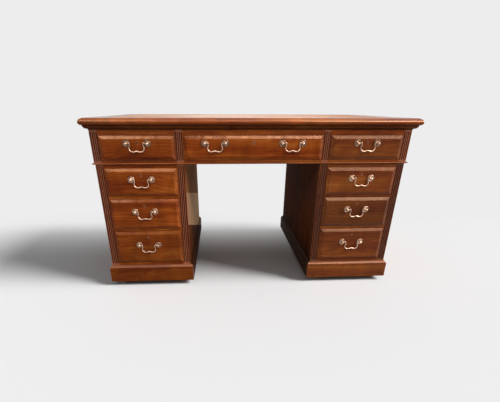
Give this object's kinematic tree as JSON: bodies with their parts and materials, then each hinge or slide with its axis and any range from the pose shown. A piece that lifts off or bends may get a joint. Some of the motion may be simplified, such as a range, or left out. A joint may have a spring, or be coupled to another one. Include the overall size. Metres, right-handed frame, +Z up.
{
  "type": "partners desk",
  "caption": "Mahogany pedestal partners desk with leather writing top, fluted stiles, raised drawer fronts on brass swan-neck bails, rear cupboards and castors.",
  "frame": {"origin": "on the floor under the middle of the desk", "axes": "+X along the width to the right as seen from the drawer side, +Y from the drawer side to the cupboard side, +Z up"},
  "size_m": [1.449, 0.8, 0.797],
  "materials": {
    "mahogany": "french polished red-brown mahogany",
    "pine": "plain aged softwood, unpolished",
    "leather": "polished tan hide with gilt tooling",
    "brass": "aged lacquered brass"
  },
  "bodies": {
    "carcase": {"desk_top": "mahogany", "writing_leather": "leather", "top_ovolo": "mahogany", "frieze_frame": "mahogany", "frieze_bead": "mahogany", "inner_framing": "pine", "pedestal_sides": "mahogany", "left_pedestal_frame": "mahogany", "right_pedestal_frame": "mahogany", "left_plinth": "mahogany", "right_plinth": "mahogany", "door_hinge_leaves": "brass"},
    "drawer_frieze_left": {"drawer_frieze_left": "mahogany", "fittings_frieze_left": "brass"},
    "bail_frieze_left": {"bail_frieze_left": "brass"},
    "drawer_frieze_centre": {"drawer_frieze_centre": "mahogany", "fittings_frieze_centre": "brass"},
    "bail_frieze_centre_left": {"bail_frieze_centre_left": "brass"},
    "bail_frieze_centre_right": {"bail_frieze_centre_right": "brass"},
    "drawer_frieze_right": {"drawer_frieze_right": "mahogany", "fittings_frieze_right": "brass"},
    "bail_frieze_right": {"bail_frieze_right": "brass"},
    "drawer_left_upper": {"drawer_left_upper": "mahogany", "fittings_left_upper": "brass"},
    "bail_left_upper": {"bail_left_upper": "brass"},
    "drawer_left_middle": {"drawer_left_middle": "mahogany", "fittings_left_middle": "brass"},
    "bail_left_middle": {"bail_left_middle": "brass"},
    "drawer_left_lower": {"drawer_left_lower": "mahogany", "fittings_left_lower": "brass"},
    "bail_left_lower": {"bail_left_lower": "brass"},
    "drawer_right_upper": {"drawer_right_upper": "mahogany", "fittings_right_upper": "brass"},
    "bail_right_upper": {"bail_right_upper": "brass"},
    "drawer_right_middle": {"drawer_right_middle": "mahogany", "fittings_right_middle": "brass"},
    "bail_right_middle": {"bail_right_middle": "brass"},
    "drawer_right_lower": {"drawer_right_lower": "mahogany", "fittings_right_lower": "brass"},
    "bail_right_lower": {"bail_right_lower": "brass"},
    "left_door": {"left_door": "mahogany", "left_door_fittings": "brass"},
    "castor_left_front_outer_horn": {"castor_left_front_outer_horn": "brass"},
    "castor_left_front_outer_wheel": {"castor_left_front_outer_wheel": "brass"},
    "castor_left_front_inner_horn": {"castor_left_front_inner_horn": "brass"},
    "castor_left_front_inner_wheel": {"castor_left_front_inner_wheel": "brass"},
    "castor_left_back_outer_horn": {"castor_left_back_outer_horn": "brass"},
    "castor_left_back_outer_wheel": {"castor_left_back_outer_wheel": "brass"},
    "castor_left_back_inner_horn": {"castor_left_back_inner_horn": "brass"},
    "castor_left_back_inner_wheel": {"castor_left_back_inner_wheel": "brass"},
    "right_door": {"right_door": "mahogany", "right_door_fittings": "brass"},
    "castor_right_front_outer_horn": {"castor_right_front_outer_horn": "brass"},
    "castor_right_front_outer_wheel": {"castor_right_front_outer_wheel": "brass"},
    "castor_right_front_inner_horn": {"castor_right_front_inner_horn": "brass"},
    "castor_right_front_inner_wheel": {"castor_right_front_inner_wheel": "brass"},
    "castor_right_back_outer_horn": {"castor_right_back_outer_horn": "brass"},
    "castor_right_back_outer_wheel": {"castor_right_back_outer_wheel": "brass"},
    "castor_right_back_inner_horn": {"castor_right_back_inner_horn": "brass"},
    "castor_right_back_inner_wheel": {"castor_right_back_inner_wheel": "brass"}
  },
  "joints": [
    {"name": "drawer_frieze_left_slide", "type": "slide", "parent": "carcase", "child": "drawer_frieze_left", "axis": [0, -1, 0], "range_m": [0, 0.36]},
    {"name": "bail_frieze_left_swing", "type": "hinge", "parent": "drawer_frieze_left", "child": "bail_frieze_left", "pos_m": [-0.501, -0.3935, 0.69625], "axis": [-1, 0, 0], "range_deg": [-8, 100]},
    {"name": "drawer_frieze_centre_slide", "type": "slide", "parent": "carcase", "child": "drawer_frieze_centre", "axis": [0, -1, 0], "range_m": [0, 0.36]},
    {"name": "bail_frieze_centre_left_swing", "type": "hinge", "parent": "drawer_frieze_centre", "child": "bail_frieze_centre_left", "pos_m": [-0.1685, -0.3935, 0.69625], "axis": [-1, 0, 0], "range_deg": [-8, 100]},
    {"name": "bail_frieze_centre_right_swing", "type": "hinge", "parent": "drawer_frieze_centre", "child": "bail_frieze_centre_right", "pos_m": [0.1685, -0.3935, 0.69625], "axis": [-1, 0, 0], "range_deg": [-8, 100]},
    {"name": "drawer_frieze_right_slide", "type": "slide", "parent": "carcase", "child": "drawer_frieze_right", "axis": [0, -1, 0], "range_m": [0, 0.36]},
    {"name": "bail_frieze_right_swing", "type": "hinge", "parent": "drawer_frieze_right", "child": "bail_frieze_right", "pos_m": [0.501, -0.3935, 0.69625], "axis": [-1, 0, 0], "range_deg": [-8, 100]},
    {"name": "drawer_left_upper_slide", "type": "slide", "parent": "carcase", "child": "drawer_left_upper", "axis": [0, -1, 0], "range_m": [0, 0.31]},
    {"name": "bail_left_upper_swing", "type": "hinge", "parent": "drawer_left_upper", "child": "bail_left_upper", "pos_m": [-0.4995, -0.3905, 0.5415], "axis": [-1, 0, 0], "range_deg": [-8, 100]},
    {"name": "drawer_left_middle_slide", "type": "slide", "parent": "carcase", "child": "drawer_left_middle", "axis": [0, -1, 0], "range_m": [0, 0.31]},
    {"name": "bail_left_middle_swing", "type": "hinge", "parent": "drawer_left_middle", "child": "bail_left_middle", "pos_m": [-0.4995, -0.3905, 0.3925], "axis": [-1, 0, 0], "range_deg": [-8, 100]},
    {"name": "drawer_left_lower_slide", "type": "slide", "parent": "carcase", "child": "drawer_left_lower", "axis": [0, -1, 0], "range_m": [0, 0.31]},
    {"name": "bail_left_lower_swing", "type": "hinge", "parent": "drawer_left_lower", "child": "bail_left_lower", "pos_m": [-0.4995, -0.3905, 0.224], "axis": [-1, 0, 0], "range_deg": [-8, 100]},
    {"name": "drawer_right_upper_slide", "type": "slide", "parent": "carcase", "child": "drawer_right_upper", "axis": [0, -1, 0], "range_m": [0, 0.31]},
    {"name": "bail_right_upper_swing", "type": "hinge", "parent": "drawer_right_upper", "child": "bail_right_upper", "pos_m": [0.4995, -0.3905, 0.5415], "axis": [-1, 0, 0], "range_deg": [-8, 100]},
    {"name": "drawer_right_middle_slide", "type": "slide", "parent": "carcase", "child": "drawer_right_middle", "axis": [0, -1, 0], "range_m": [0, 0.31]},
    {"name": "bail_right_middle_swing", "type": "hinge", "parent": "drawer_right_middle", "child": "bail_right_middle", "pos_m": [0.4995, -0.3905, 0.3925], "axis": [-1, 0, 0], "range_deg": [-8, 100]},
    {"name": "drawer_right_lower_slide", "type": "slide", "parent": "carcase", "child": "drawer_right_lower", "axis": [0, -1, 0], "range_m": [0, 0.31]},
    {"name": "bail_right_lower_swing", "type": "hinge", "parent": "drawer_right_lower", "child": "bail_right_lower", "pos_m": [0.4995, -0.3905, 0.224], "axis": [-1, 0, 0], "range_deg": [-8, 100]},
    {"name": "left_door_hinge", "type": "hinge", "parent": "carcase", "child": "left_door", "pos_m": [-0.6575, 0.3725, 0], "axis": [0, 0, 1], "range_deg": [0, 105]},
    {"name": "castor_left_front_outer_swivel", "type": "hinge", "parent": "carcase", "child": "castor_left_front_outer_horn", "pos_m": [-0.6575, -0.333, 0], "axis": [0, 0, 1], "continuous": true},
    {"name": "castor_left_front_outer_roll", "type": "hinge", "parent": "castor_left_front_outer_horn", "child": "castor_left_front_outer_wheel", "pos_m": [-0.6575, -0.343, 0.017], "axis": [1, 0, 0], "continuous": true},
    {"name": "castor_left_front_inner_swivel", "type": "hinge", "parent": "carcase", "child": "castor_left_front_inner_horn", "pos_m": [-0.3415, -0.333, 0], "axis": [0, 0, 1], "continuous": true},
    {"name": "castor_left_front_inner_roll", "type": "hinge", "parent": "castor_left_front_inner_horn", "child": "castor_left_front_inner_wheel", "pos_m": [-0.3415, -0.343, 0.017], "axis": [1, 0, 0], "continuous": true},
    {"name": "castor_left_back_outer_swivel", "type": "hinge", "parent": "carcase", "child": "castor_left_back_outer_horn", "pos_m": [-0.6575, 0.333, 0], "axis": [0, 0, 1], "continuous": true},
    {"name": "castor_left_back_outer_roll", "type": "hinge", "parent": "castor_left_back_outer_horn", "child": "castor_left_back_outer_wheel", "pos_m": [-0.6575, 0.343, 0.017], "axis": [1, 0, 0], "continuous": true},
    {"name": "castor_left_back_inner_swivel", "type": "hinge", "parent": "carcase", "child": "castor_left_back_inner_horn", "pos_m": [-0.3415, 0.333, 0], "axis": [0, 0, 1], "continuous": true},
    {"name": "castor_left_back_inner_roll", "type": "hinge", "parent": "castor_left_back_inner_horn", "child": "castor_left_back_inner_wheel", "pos_m": [-0.3415, 0.343, 0.017], "axis": [1, 0, 0], "continuous": true},
    {"name": "right_door_hinge", "type": "hinge", "parent": "carcase", "child": "right_door", "pos_m": [0.6575, 0.3725, 0], "axis": [0, 0, -1], "range_deg": [0, 105]},
    {"name": "castor_right_front_outer_swivel", "type": "hinge", "parent": "carcase", "child": "castor_right_front_outer_horn", "pos_m": [0.6575, -0.333, 0], "axis": [0, 0, 1], "continuous": true},
    {"name": "castor_right_front_outer_roll", "type": "hinge", "parent": "castor_right_front_outer_horn", "child": "castor_right_front_outer_wheel", "pos_m": [0.6575, -0.343, 0.017], "axis": [1, 0, 0], "continuous": true},
    {"name": "castor_right_front_inner_swivel", "type": "hinge", "parent": "carcase", "child": "castor_right_front_inner_horn", "pos_m": [0.3415, -0.333, 0], "axis": [0, 0, 1], "continuous": true},
    {"name": "castor_right_front_inner_roll", "type": "hinge", "parent": "castor_right_front_inner_horn", "child": "castor_right_front_inner_wheel", "pos_m": [0.3415, -0.343, 0.017], "axis": [1, 0, 0], "continuous": true},
    {"name": "castor_right_back_outer_swivel", "type": "hinge", "parent": "carcase", "child": "castor_right_back_outer_horn", "pos_m": [0.6575, 0.333, 0], "axis": [0, 0, 1], "continuous": true},
    {"name": "castor_right_back_outer_roll", "type": "hinge", "parent": "castor_right_back_outer_horn", "child": "castor_right_back_outer_wheel", "pos_m": [0.6575, 0.343, 0.017], "axis": [1, 0, 0], "continuous": true},
    {"name": "castor_right_back_inner_swivel", "type": "hinge", "parent": "carcase", "child": "castor_right_back_inner_horn", "pos_m": [0.3415, 0.333, 0], "axis": [0, 0, 1], "continuous": true},
    {"name": "castor_right_back_inner_roll", "type": "hinge", "parent": "castor_right_back_inner_horn", "child": "castor_right_back_inner_wheel", "pos_m": [0.3415, 0.343, 0.017], "axis": [1, 0, 0], "continuous": true}
  ]
}
